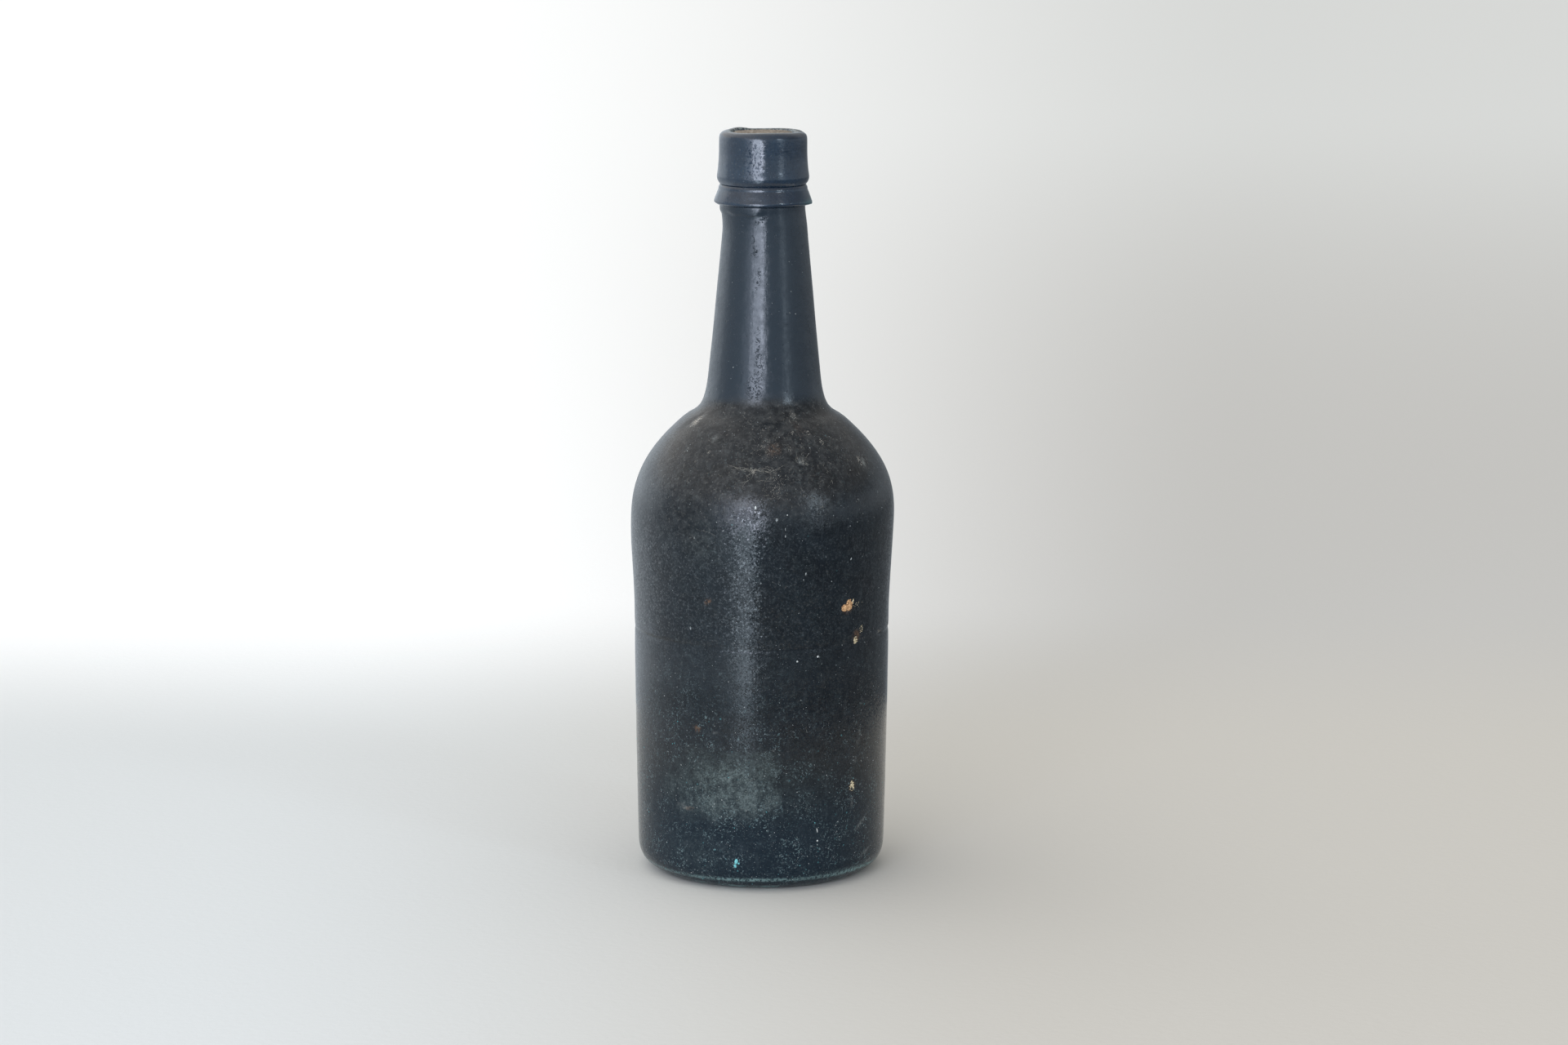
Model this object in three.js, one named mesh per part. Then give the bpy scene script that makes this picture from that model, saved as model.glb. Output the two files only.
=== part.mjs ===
// A corked black-glass beer bottle: a body blown in a dip mould, with a pushed-up base,
// a lip and a string rim laid on round the end of the neck, and a cut cork in the mouth.
// Millimetres, +Z up. The origin is the centre of the base, on the table.
import * as THREE from "three";

// Driving dimensions: the base, heights from the table
const puntDepth = 27; // how far the middle of the base is pushed up
const restRingWidth = 1.8;
const restRingInset = 5.8; // from the heel's ridge in to the ring that the bottle stands on
const heelRidgeHeight = 3;
const heelRidgeInset = 1.8; // from the foot of the wall in to the fine ridge where the heel turns under
const wallFootHeight = 8.5;

// Driving dimensions: the wall and the shoulder
const wallFootRadius = 37;
const wallCrown = 0.2; // how far the wall swells out between its foot and the mould's rim
const mouldRimHeight = 74.5;
const mouldRimRadius = 38.05;
const mouldMarkDepth = 0.25;
const mouldMarkWidth = 2.6;
const bodyMaxRadius = 39.35;
const bodyMaxRise = 33.1; // from the mould's rim up to the widest place
const shoulderRise = 28.9; // from the widest place up to the bend where the shoulder turns hollow
const bendRadius = 24.4;
const bendDegrees = 42; // slope of the surface at the bend
const neckRootRise = 13.5; // from the bend up to where the neck runs straight

// Driving dimensions: the neck, its radii built up from the bore
const boreRadius = 9.4;
const neckWall = 3; // under the string rim
const neckEndWall = 1.9; // at the cracked-off end, inside the lip
const neckRootWall = 4.6;
const neckLength = 50.2; // from its root up to the string rim
const neckTaperDegrees = 5.6;
const neckBendDrop = 6.3; // from the string rim down to where the taper starts
const neckBendReach = 4.2; // how far the rounding of that place goes either way

// Driving dimensions: the rest of the glass thickness
const shoulderWall = 5;
const footWall = 6.2;
const baseThickness = 9;
const puntThickness = 8;

// Driving dimensions: the laid-on finish
const stringRimHeight = 6.2;
const stringRimProjection = 2; // beyond the neck
const stringRimEdge = 0.9;
const grooveThickness = 0.65; // glass left over the neck at the bottom of the groove
const lipHeight = 15.6;
const lipThickness = 1.7;
const lipFlare = 0.65; // how much wider the lip is at its lower edge
const lipUndercutHeight = 2.3;
const lipEdgeWidth = 2.35;
const lipEdgeDrop = 1.9;
const lipCapThickness = 2.5; // how far the lip stands over the cracked-off end of the neck
const mouthFlare = 0.5;
const mouthFlareDepth = 0.9;

// Driving dimensions: the cork
const corkLength = 38;
const corkTopDrop = 0.3;
const corkChamfer = 0.7;
const corkClearance = 0.1; // all round, so that it can be drawn
const corkageSpare = 2; // how much further down than the cork the bore stays straight

// Shapes of the curves, as shares of the stretch that each curve spans
const shoulderFullness = 0.39;
const hollowEntry = 0.3;
const hollowExit = 0.8;
const puntCrown = 0.52;
const puntFlank = 0.82;
const puntFlankRise = 0.45;
const domeCrown = 0.75;
const domeFlank = 0.85;

const facetsRound = 64;

const colours = { glass: 0x20262d, finish: 0x262d35, cork: 0x8a6f57 };

// Heights that follow
const shoulderHeight = mouldRimHeight + bodyMaxRise;
const bendHeight = shoulderHeight + shoulderRise;
const neckRootHeight = bendHeight + neckRootRise;
const stringRimBottom = neckRootHeight + neckLength;
const lipBottom = stringRimBottom + stringRimHeight;
const bottleHeight = lipBottom + lipHeight;
const neckEnd = bottleHeight - lipCapThickness;
const corkTop = bottleHeight - corkTopDrop;
const corkBottom = corkTop - corkLength;
const corkageBottom = corkBottom - corkageSpare;

// Radii that follow
const neckSlope = Math.tan(THREE.MathUtils.degToRad(neckTaperDegrees)); // radius per height
const neckTopRadius = boreRadius + neckWall;
const neckEndRadius = boreRadius + neckEndWall;
const neckRootRadius = neckTopRadius + neckSlope * (neckLength - neckBendDrop);
const heelRidgeRadius = wallFootRadius - heelRidgeInset;
const restRingOuterRadius = heelRidgeRadius - restRingInset;
const restRingInnerRadius = restRingOuterRadius - restRingWidth;
const lipTopRadius = neckEndRadius + lipThickness;
const lipBottomRadius = lipTopRadius + lipFlare;
const stringRimRadius = neckTopRadius + stringRimProjection;

const point = (radius, height) => new THREE.Vector2(radius, height);
const bezier = (steps, ...ends) => new THREE.CubicBezierCurve(...ends).getPoints(steps);

// A point on the way from one to the other.
const between = (from, to, share) => from.clone().lerp(to, share);

// The outside of the neck's end narrows evenly inside the finish, whose two pieces sit on it.
const seatSlope = (neckTopRadius - neckEndRadius) / (neckEnd - stringRimBottom);
const seat = (height) => point(neckTopRadius - seatSlope * (height - stringRimBottom), height);
const groove = point(seat(lipBottom).x + grooveThickness, lipBottom);

// Part of an ellipse in the plane of radius and height, both ends included.
function arc(centre, radiusAcross, radiusUp, from, to, steps) {
  const points = [];
  for (let i = 0; i <= steps; i++) {
    const angle = from + ((to - from) * i) / steps;
    points.push(point(centre.x + radiusAcross * Math.cos(angle), centre.y + radiusUp * Math.sin(angle)));
  }
  return points;
}

// A solid of revolution round Z. The outline runs anticlockwise and ends on the axis or where it began.
function turned(outline) {
  const separate = outline.filter((p, i) => i === 0 || p.distanceTo(outline[i - 1]) > 1e-6);
  const geometry = new THREE.LatheGeometry(separate, facetsRound);
  geometry.rotateX(Math.PI / 2);
  return geometry;
}

// The shoulder from its widest place up over the bend and through the hollow to the root of the neck.
// The wall is 0 for the outside, and the glass's thickness there for the inside.
function shoulderAndHollow(wallAtSide, wallAtRoot, rootSlope, shoulderSteps, hollowSteps) {
  const angle = THREE.MathUtils.degToRad(bendDegrees);
  const along = point(-Math.cos(angle), Math.sin(angle));
  const inward = point(-Math.sin(angle), -Math.cos(angle));
  const upNeck = point(-rootSlope, 1).normalize();
  const side = point(bodyMaxRadius - wallAtSide, shoulderHeight);
  const bend = point(bendRadius, bendHeight).addScaledVector(inward, wallAtSide);
  const root = point(neckRootRadius - wallAtRoot, neckRootHeight);
  const fullness = side.distanceTo(bend) * shoulderFullness;
  const hollow = bend.distanceTo(root);
  return [
    ...bezier(
      shoulderSteps,
      side,
      point(side.x, side.y + fullness),
      bend.clone().addScaledVector(along, -fullness),
      bend,
    ),
    ...bezier(
      hollowSteps,
      bend,
      bend.clone().addScaledVector(along, hollow * hollowEntry),
      root.clone().addScaledVector(upNeck, -hollow * hollowExit),
      root,
    ),
  ];
}

// The outside, from the middle of the punt out over the resting ring, round the heel and up to the end of the neck.
function outsideOfGlass() {
  const punt = bezier(
    8,
    point(0, puntDepth),
    point(restRingInnerRadius * puntCrown, puntDepth),
    point(restRingInnerRadius * puntFlank, puntDepth * puntFlankRise),
    point(restRingInnerRadius, 0),
  );
  const ring = point(restRingOuterRadius, 0);
  const ridge = point(heelRidgeRadius, heelRidgeHeight);
  const under = bezier(
    3,
    ring,
    point(between(ring, ridge, 0.35).x, 0),
    point(between(ring, ridge, 0.75).x, heelRidgeHeight * 0.45),
    ridge,
  );
  const foot = point(wallFootRadius, wallFootHeight);
  const heel = bezier(
    4,
    ridge,
    point(between(ridge, foot, 0.6).x, between(ridge, foot, 0.2).y),
    point(wallFootRadius, between(ridge, foot, 0.55).y),
    foot,
  );
  // The mark of the mould's rim is a shallow step, steeper at its upper edge.
  const markFoot = point(mouldRimRadius, mouldRimHeight - mouldMarkWidth);
  const markFloor = point(mouldRimRadius - mouldMarkDepth, mouldRimHeight - mouldMarkWidth * 0.25);
  const markTop = point(mouldRimRadius, mouldRimHeight);
  const middle = between(foot, markFoot, 0.5);
  const crowned = point(middle.x + 2 * wallCrown, middle.y);
  const wall = new THREE.QuadraticBezierCurve(foot, crowned, markFoot).getPoints(4);
  const widest = point(bodyMaxRadius, shoulderHeight);
  const swell = bezier(
    5,
    markTop,
    point(between(markTop, widest, 0.07).x, between(markTop, widest, 0.35).y),
    point(bodyMaxRadius, between(markTop, widest, 0.7).y),
    widest,
  );
  const taperStart = point(neckTopRadius, stringRimBottom - neckBendDrop);
  const neckBend = new THREE.QuadraticBezierCurve(
    point(neckTopRadius + neckSlope * neckBendReach, taperStart.y - neckBendReach),
    taperStart,
    point(neckTopRadius, taperStart.y + neckBendReach),
  );
  return [
    ...punt,
    ...under,
    ...heel,
    ...wall,
    markFloor,
    ...swell,
    ...shoulderAndHollow(0, 0, neckSlope, 9, 7),
    ...neckBend.getPoints(3),
    seat(stringRimBottom),
    seat(lipBottom),
    seat(neckEnd),
  ];
}

// The inside, from the middle of the dome up the wall, the shoulder and the bore to the end of the neck.
function insideOfGlass() {
  const domeTop = point(0, puntDepth + puntThickness);
  const moat = point(restRingInnerRadius, baseThickness);
  const dome = bezier(
    7,
    domeTop,
    point(moat.x * domeCrown, domeTop.y),
    point(moat.x * domeFlank, moat.y),
    moat,
  );
  const wallFoot = point(wallFootRadius - footWall, baseThickness + wallFootHeight);
  const corner = bezier(
    4,
    moat,
    point(between(moat, wallFoot, 0.6).x, moat.y),
    point(wallFoot.x, between(moat, wallFoot, 0.4).y),
    wallFoot,
  );
  const boreSlope = (neckRootRadius - neckRootWall - boreRadius) / (corkageBottom - neckRootHeight);
  return [
    ...dome,
    ...corner,
    ...shoulderAndHollow(shoulderWall, neckRootWall, boreSlope, 7, 5),
    point(boreRadius, corkageBottom),
    point(boreRadius, neckEnd),
  ];
}

// The lip: a deep band with a rounded top, wrapped over the end of the neck, its foot drawn in to the groove.
function lipOutline() {
  const undercutTop = lipBottom + lipUndercutHeight;
  const edgeCentre = point(lipTopRadius - lipEdgeWidth, bottleHeight - lipEdgeDrop);
  const mouthCentre = point(boreRadius + mouthFlare, bottleHeight - mouthFlareDepth);
  const widest = point(lipBottomRadius, undercutTop);
  return [
    seat(lipBottom),
    ...bezier(
      4,
      groove,
      point(between(groove, widest, 0.5).x, between(groove, widest, 0.3).y),
      point(widest.x, between(groove, widest, 0.5).y),
      widest,
    ),
    ...bezier(
      3,
      widest,
      point(between(widest, edgeCentre, 0.1).x, undercutTop + lipUndercutHeight),
      point(lipTopRadius, undercutTop + lipUndercutHeight * 2),
      point(lipTopRadius, edgeCentre.y),
    ),
    ...arc(edgeCentre, lipEdgeWidth, lipEdgeDrop, 0, Math.PI / 2, 4),
    ...arc(mouthCentre, -mouthFlare, mouthFlareDepth, Math.PI / 2, 0, 2),
    point(boreRadius, neckEnd),
    seat(neckEnd),
    seat(lipBottom),
  ];
}

// The string rim: a skirt that widens downwards to a blunt edge.
function stringRimOutline() {
  const rise = (share) => stringRimBottom + stringRimEdge * share;
  return [
    seat(stringRimBottom),
    point(stringRimRadius - stringRimEdge, rise(0.35)),
    point(stringRimRadius - stringRimEdge * 0.15, rise(0.9)),
    point(stringRimRadius, rise(1.5)),
    point(stringRimRadius - stringRimEdge * 0.2, rise(2.2)),
    groove,
    seat(lipBottom),
    seat(stringRimBottom),
  ];
}

// The cork: straight, and cut nearly flush with the lip.
function corkOutline() {
  const corkRadius = boreRadius - corkClearance;
  return [
    point(0, corkBottom),
    point(corkRadius - corkChamfer, corkBottom),
    point(corkRadius, corkBottom + corkChamfer),
    point(corkRadius, corkTop - corkChamfer),
    point(corkRadius - corkChamfer, corkTop),
    point(0, corkTop),
  ];
}

function piece(name, outline, colour, roughness) {
  const material = new THREE.MeshStandardMaterial({ color: colour, roughness, metalness: 0 });
  const mesh = new THREE.Mesh(turned(outline), material);
  mesh.name = name;
  return mesh;
}

const bottle = new THREE.Group();
bottle.add(
  piece("glass_body", [...outsideOfGlass(), ...insideOfGlass().reverse()], colours.glass, 0.35),
  piece("lip", lipOutline(), colours.finish, 0.25),
  piece("string_rim", stringRimOutline(), colours.finish, 0.25),
  piece("cork", corkOutline(), colours.cork, 0.9),
);

export default bottle;
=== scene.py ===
import math

import bpy
import numpy as np
from mathutils import Matrix, Vector


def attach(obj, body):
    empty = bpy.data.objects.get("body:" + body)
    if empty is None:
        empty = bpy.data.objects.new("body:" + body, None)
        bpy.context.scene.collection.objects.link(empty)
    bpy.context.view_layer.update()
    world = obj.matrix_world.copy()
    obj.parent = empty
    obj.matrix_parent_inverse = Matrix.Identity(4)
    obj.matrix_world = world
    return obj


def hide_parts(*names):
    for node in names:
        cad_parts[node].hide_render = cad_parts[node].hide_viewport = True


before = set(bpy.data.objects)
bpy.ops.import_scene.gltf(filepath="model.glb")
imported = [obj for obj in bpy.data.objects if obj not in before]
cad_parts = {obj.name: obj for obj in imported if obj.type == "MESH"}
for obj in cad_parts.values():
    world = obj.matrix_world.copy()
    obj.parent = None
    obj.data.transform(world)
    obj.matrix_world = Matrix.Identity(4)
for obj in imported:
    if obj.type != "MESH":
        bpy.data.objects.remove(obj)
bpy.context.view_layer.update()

MM = 0.001
TINY = 1e-7  # metres within which two places on an outline are one
CORNER = 38  # degrees: where an outline turns by more, it keeps its corner


# Helpers for colours, node trees and smooth steps

# The node kinds used most, and what each of them is always given here
MATH = "ShaderNodeMath"
VECTOR = "ShaderNodeVectorMath"
NOISE = "ShaderNodeTexNoise"
CELLS = "ShaderNodeTexVoronoi"
RANGE = "ShaderNodeMapRange"
MIX = "ShaderNodeMix"
BUMP = "ShaderNodeBump"
SET_POSITION = "GeometryNodeSetPosition"
ALWAYS = {
    RANGE: {"interpolation_type": "SMOOTHSTEP"},
    BUMP: {"Strength": 1.0},
    "ShaderNodeAttribute": {"out": "Fac"},
}


def srgb(code):
    """An sRGB hex colour as linear RGBA."""
    channels = [int(code[i:i + 2], 16) / 255 for i in (1, 3, 5)]
    return [c / 12.92 if c <= 0.04045 else ((c + 0.055) / 1.055) ** 2.4 for c in channels] + [1.0]


def add(tree, kind, *values, **named):
    """Adds a node and gives its first output, or the one named or numbered by out.

    Values fill its inputs in order. A name with a capital is an input's, any other a setting's.
    An input takes a number, a vector, a hex colour, or the output socket to link.
    """
    made = tree.nodes.new(kind)
    named = ALWAYS.get(kind, {}) | named
    out = named.pop("out", 0)
    inputs = dict(enumerate(values))
    for name, value in named.items():
        if name[0].isupper():
            inputs[name] = value
        else:
            setattr(made, name, value)
    for socket, value in inputs.items():
        if isinstance(value, bpy.types.NodeSocket):
            tree.links.new(value, made.inputs[socket])
        else:
            is_colour = isinstance(value, str) and value.startswith("#")
            made.inputs[socket].default_value = srgb(value) if is_colour else value
    return made.outputs[out] if made.outputs else None


def product(tree, *values):
    """All the values multiplied together."""
    result = values[0]
    for value in values[1:]:
        result = add(tree, MATH, result, value, operation="MULTIPLY")
    return result


def total(tree, *values):
    """All the values added up."""
    result = values[0]
    for value in values[1:]:
        result = add(tree, MATH, result, value, operation="ADD")
    return result


def per_mm(size):
    """The scale of a noise or cell pattern on coordinates in metres whose features are this many mm."""
    return 1 / (size * MM)


def step(value, start, end):
    """0 before start, 1 after end, and smooth between."""
    t = np.clip((value - start) / (end - start), 0, 1)
    return t * t * (3 - 2 * t)


def hump(value, centre, half_width):
    """1 at the centre, falling smoothly to 0 half_width away."""
    return 1 - step(np.abs(value - centre), 0, half_width)


def turn_between(azimuth, centre):
    """The angle from centre to azimuth in degrees, from -180 to 180."""
    return (azimuth - centre + 180) % 360 - 180


def facing(azimuth, centre, half_turn):
    """1 on the side at the centre, falling smoothly to 0 half_turn degrees either way."""
    return hump(turn_between(azimuth, centre), 0, half_turn)


def ripple(azimuth, turns, phase):
    """A wave round the bottle with this many turns, from -1 to 1."""
    return np.sin(np.radians(azimuth) * turns + phase)


# The outlines of the turned pieces, taken from the frame

def section(node):
    """The outline of a turned CAD node as rows of radius and height in metres, in order along it."""
    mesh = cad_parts[node].data
    joined = {}
    for face in mesh.polygons:
        corners = [mesh.vertices[i].co for i in face.vertices]
        cut = [(round(c.x, 7), round(c.z, 7)) for c in corners if abs(c.y) < TINY and c.x > -TINY]
        if len(cut) == 2 and cut[0] != cut[1]:
            joined.setdefault(cut[0], set()).add(cut[1])
            joined.setdefault(cut[1], set()).add(cut[0])
    ends = sorted((p for p in joined if len(joined[p]) == 1), key=lambda p: p[1])
    path = [ends[0] if ends else min(joined, key=lambda p: (p[1], p[0]))]
    while True:
        onward = [p for p in sorted(joined[path[-1]]) if p not in path]
        if not onward:
            break
        path.append(onward[0])
    if not ends:
        path.append(path[0])
    return np.array(path)


def dense(path, spacing):
    """The outline with rows at the wanted spacing, on smooth curves between its corners."""
    chords = np.diff(path, axis=0)
    lengths = np.linalg.norm(chords, axis=1)
    along = chords / lengths[:, None]
    turns = np.degrees(np.arccos(np.clip((along[1:] * along[:-1]).sum(1), -1, 1)))
    rows = [path[0]]
    for i, (start, chord, length) in enumerate(zip(path, chords, lengths)):
        # A long straight stretch keeps its direction where a curve of short ones joins it.
        leave = along[i] if i == 0 or turns[i - 1] > CORNER else chords[i - 1] + chords[i]
        arrive = along[i] if i == len(chords) - 1 or turns[i] > CORNER else chords[i] + chords[i + 1]
        leave = leave / np.linalg.norm(leave) * length
        arrive = arrive / np.linalg.norm(arrive) * length
        steps = max(1, math.ceil(length / spacing(*(start + chord / 2), i)))
        for t in np.arange(1, steps + 1) / steps:
            rows.append(
                start * (2 * t**3 - 3 * t**2 + 1)
                + leave * (t**3 - 2 * t**2 + t)
                + (start + chord) * (3 * t**2 - 2 * t**3)
                + arrive * (t**3 - t**2)
            )
    return np.array(rows)


# Geometry Nodes for the turned pieces and for what lies on the glass

def new_tree(name, sockets):
    """An empty geometry tree with these inputs, given as label and type, and its input sockets by label."""
    tree = bpy.data.node_groups.new(name, "GeometryNodeTree")
    for label, kind in sockets:
        tree.interface.new_socket(label, in_out="INPUT", socket_type="NodeSocket" + kind)
    tree.interface.new_socket("Piece", in_out="OUTPUT", socket_type="NodeSocketGeometry")
    return tree, add(tree, "NodeGroupInput").node.outputs


def unsteady(tree, geometry, along, height, size, seed):
    """Moves the points by noise of this height and size, along a direction, or any way where it is None."""
    position = add(tree, "GeometryNodeInputPosition")
    scale = add(tree, MATH, 1.0, size, operation="DIVIDE")
    noise = add(tree, NOISE, position, W=seed, Scale=scale, Detail=2.0, noise_dimensions="4D").node.outputs
    if along is None:
        centred = add(tree, VECTOR, noise["Color"], (0.5, 0.5, 0.5), operation="SUBTRACT")
        offset = add(tree, VECTOR, centred, Scale=height, operation="SCALE")
    else:
        centred = add(tree, MATH, noise["Fac"], 0.5, operation="SUBTRACT")
        offset = add(tree, VECTOR, along, Scale=product(tree, centred, height), operation="SCALE")
    return add(tree, SET_POSITION, geometry, Offset=offset)


def finished(tree, geometry, tint):
    """Ends a tree: smooth, real geometry in its material."""
    soft = add(tree, "GeometryNodeSetShadeSmooth", geometry)
    real = add(tree, "GeometryNodeRealizeInstances", soft)
    add(tree, "NodeGroupOutput", Piece=add(tree, "GeometryNodeSetMaterial", real, Material=tint))


def turned_tree():
    """Turns an outline round Z: a grid with a row for each of its points, rolled up and made uneven."""
    tree, given = new_tree("turned_round_the_axis", (
        ("Outline", "Geometry"), ("Columns", "Int"), ("Wave Height", "Float"), ("Wave Size", "Float"),
        ("Grain Height", "Float"), ("Grain Size", "Float"), ("Seed", "Float"), ("Material", "Material")))
    rows = add(tree, "GeometryNodeAttributeDomainSize", given["Outline"])
    columns = add(tree, MATH, given["Columns"], 1.0, operation="ADD")
    grid = add(tree, "GeometryNodeMeshGrid", 1.0, 1.0, columns, rows)
    where = add(tree, "ShaderNodeSeparateXYZ", add(tree, "GeometryNodeInputPosition")).node.outputs
    # The grid is 1 by 1 about the middle, so Y + 0.5 is the share of the way along the outline.
    last = add(tree, MATH, rows, 1.0, operation="SUBTRACT")
    row = product(tree, add(tree, MATH, where["Y"], 0.5, operation="ADD"), last)
    on_outline = add(
        tree, "GeometryNodeSampleIndex", given["Outline"], add(tree, "GeometryNodeInputPosition"),
        Index=add(tree, MATH, row, operation="ROUND"), data_type="FLOAT_VECTOR")
    turn = product(tree, where["X"], 2 * math.pi)
    rolled = add(tree, "ShaderNodeVectorRotate", on_outline, Angle=turn, rotation_type="Z_AXIS")
    lathe = add(tree, SET_POSITION, grid, Position=rolled)
    piece = add(tree, "GeometryNodeMergeByDistance", lathe, Distance=0.001 * MM)
    outward = add(tree, "GeometryNodeInputNormal")
    for height, size in (("Wave Height", "Wave Size"), ("Grain Height", "Grain Size")):
        piece = unsteady(tree, piece, outward, given[height], given[size], given["Seed"])
    finished(tree, piece, given["Material"])
    return tree


def settled(tree, geometry, surface):
    """Sets each point down on the nearest place of the surface."""
    nearest = add(tree, "GeometryNodeProximity", surface, target_element="FACES")
    return add(tree, SET_POSITION, geometry, Position=nearest)


def grains_tree():
    """A grain on each point, turned and sized by the point's own numbers, and made uneven."""
    tree, given = new_tree("grains_on_a_surface", (
        ("Places", "Geometry"), ("Surface", "Object"), ("Rounding", "Int"), ("Unevenness", "Float"),
        ("Unevenness Size", "Float"), ("Seed", "Float"), ("Material", "Material")))
    surface = add(tree, "GeometryNodeObjectInfo", given["Surface"], out="Geometry")
    size, turn = (
        add(tree, "GeometryNodeInputNamedAttribute", label, data_type="FLOAT_VECTOR")
        for label in ("size", "facing"))
    grain = add(tree, "GeometryNodeMeshIcoSphere", 1.0, given["Rounding"])
    placed = add(
        tree, "GeometryNodeInstanceOnPoints", settled(tree, given["Places"], surface), Instance=grain,
        Rotation=add(tree, "FunctionNodeEulerToRotation", turn), Scale=size)
    real = add(tree, "GeometryNodeRealizeInstances", placed)
    outward = add(tree, "GeometryNodeInputNormal")
    rough = unsteady(tree, real, outward, given["Unevenness"], given["Unevenness Size"], given["Seed"])
    finished(tree, rough, given["Material"])
    return tree


def strands_tree():
    """Thin threads along the edges given, made to wander and laid on a surface."""
    tree, given = new_tree("threads_on_a_surface", (
        ("Places", "Geometry"), ("Surface", "Object"), ("Thickness", "Float"), ("Spacing", "Float"),
        ("Wander", "Float"), ("Wander Size", "Float"), ("Seed", "Float"), ("Material", "Material")))
    surface = add(tree, "GeometryNodeObjectInfo", given["Surface"], out="Geometry")
    line = add(tree, "GeometryNodeMeshToCurve", given["Places"])
    fine = add(tree, "GeometryNodeResampleCurve", line, Length=given["Spacing"], mode="LENGTH")
    bent = unsteady(tree, fine, None, given["Wander"], given["Wander Size"], given["Seed"])
    laid = settled(tree, bent, surface)
    round_section = add(tree, "GeometryNodeCurvePrimitiveCircle", 3, Radius=given["Thickness"])
    tube = add(tree, "GeometryNodeCurveToMesh", laid, round_section, **{"Fill Caps": True})
    finished(tree, tube, given["Material"])
    return tree


TURNED = turned_tree()
GRAINS = grains_tree()
STRANDS = strands_tree()


def run_tree(name, start, tree, values):
    """Gives a new object the tree's result for these named inputs, as a plain mesh."""
    source = bpy.data.objects.new(name + "_source", start)
    bpy.context.scene.collection.objects.link(source)
    modifier = source.modifiers.new("made", "NODES")
    modifier.node_group = tree
    identifiers = {i.name: i.identifier for i in tree.interface.items_tree if i.in_out == "INPUT"}
    for label, value in values.items():
        modifier[identifiers[label]] = value
    evaluated = source.evaluated_get(bpy.context.evaluated_depsgraph_get())
    mesh = bpy.data.meshes.new_from_object(evaluated)
    bpy.data.objects.remove(source)
    mesh.name = name
    made = bpy.data.objects.new(name, mesh)
    bpy.context.scene.collection.objects.link(made)
    return made


# Turned pieces and their vertices

def positions(mesh):
    """The mesh's vertices as rows of x, y and z in metres."""
    points = np.zeros(len(mesh.vertices) * 3)
    mesh.vertices.foreach_get("co", points)
    return points.reshape(-1, 3)


def around(points):
    """Radius, azimuth and height of points in mm. Azimuth counts degrees rightwards from the front."""
    x, y, height = points.T
    return np.hypot(x, y), np.degrees(np.arctan2(x, -y)), height


def face_outwards(mesh):
    """Turns a closed mesh the right way out where its signed volume is negative."""
    mesh.calc_loop_triangles()
    points = positions(mesh)
    corners = np.zeros(len(mesh.loop_triangles) * 3, np.int32)
    mesh.loop_triangles.foreach_get("vertices", corners)
    a, b, c = points[corners.reshape(-1, 3)].transpose(1, 0, 2)
    if (a * np.cross(b, c)).sum() < 0:
        mesh.flip_normals()


def turned(name, rows, columns, tint, seed, wave, grain=(0, 1)):
    """A piece turned from its outline. wave and grain are a height and a size in mm."""
    outline = bpy.data.meshes.new(name + "_outline")
    outline.from_pydata([(r, 0, z) for r, z in rows], [(i, i + 1) for i in range(len(rows) - 1)], [])
    made = run_tree(name, outline, TURNED, {
        "Columns": columns, "Wave Height": wave[0] * MM, "Wave Size": wave[1] * MM,
        "Grain Height": grain[0] * MM, "Grain Size": grain[1] * MM, "Seed": float(seed),
        "Material": tint})
    face_outwards(made.data)
    return made


def reshape(mesh, change):
    """Moves the vertices outwards, sideways and upwards by what change gives for them, all in mm."""
    points = positions(mesh) / MM
    radius, azimuth, height = around(points)
    outwards, sideways, upwards = change(radius, azimuth, height)
    unit = points[:, :2] / np.maximum(radius, 1e-6)[:, None]
    points[:, :2] += unit * outwards[:, None]
    points[:, 0] += sideways
    points[:, 2] += upwards
    mesh.vertices.foreach_set("co", (points * MM).ravel())
    mesh.update()


def paint(mesh, name, values):
    """Stores one number for each vertex under a name that materials and trees can read."""
    layer = mesh.attributes.new(name, "FLOAT", "POINT")
    layer.data.foreach_set("value", np.clip(values, 0, 1).astype(np.float32))


# Materials

def material(name):
    """A new material with its tree, empty but for its object coordinates."""
    made = bpy.data.materials.new(name)
    made.use_nodes = True
    made.node_tree.nodes.clear()
    return made, made.node_tree, add(made.node_tree, "ShaderNodeTexCoord", out="Object")


def finish(tree, colour, roughness, normal, specular, **more):
    """Ends a material: its shader with these inputs, and its output."""
    shader = add(
        tree, "ShaderNodeBsdfPrincipled", Roughness=roughness, Normal=normal,
        **{"Base Color": colour, "Specular IOR Level": specular}, **more)
    add(tree, "ShaderNodeOutputMaterial", shader)


def coats(tree, colour, layers):
    """Lays coats over a colour, each a share from 0 to 1 and a tint."""
    for share, tint in layers:
        colour = add(tree, MIX, share, A=colour, B=tint, data_type="RGBA", out=2)
    return colour


def dots(tree, place, size, radius, share):
    """Round specks, of this radius in mm: one in each cell of size mm, where its luck is under share."""
    cells = add(tree, CELLS, place, Scale=per_mm(size)).node.outputs
    luck = add(tree, "ShaderNodeSeparateColor", cells["Color"]).node.outputs
    picked = add(tree, MATH, luck["Red"], share, operation="LESS_THAN")
    near = add(tree, RANGE, cells["Distance"], 0.5 * radius / size, radius / size, 1.0, 0.0)
    return product(tree, near, picked, add(tree, RANGE, luck["Green"], 0.0, 1.0, 0.25, 1.0))


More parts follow.
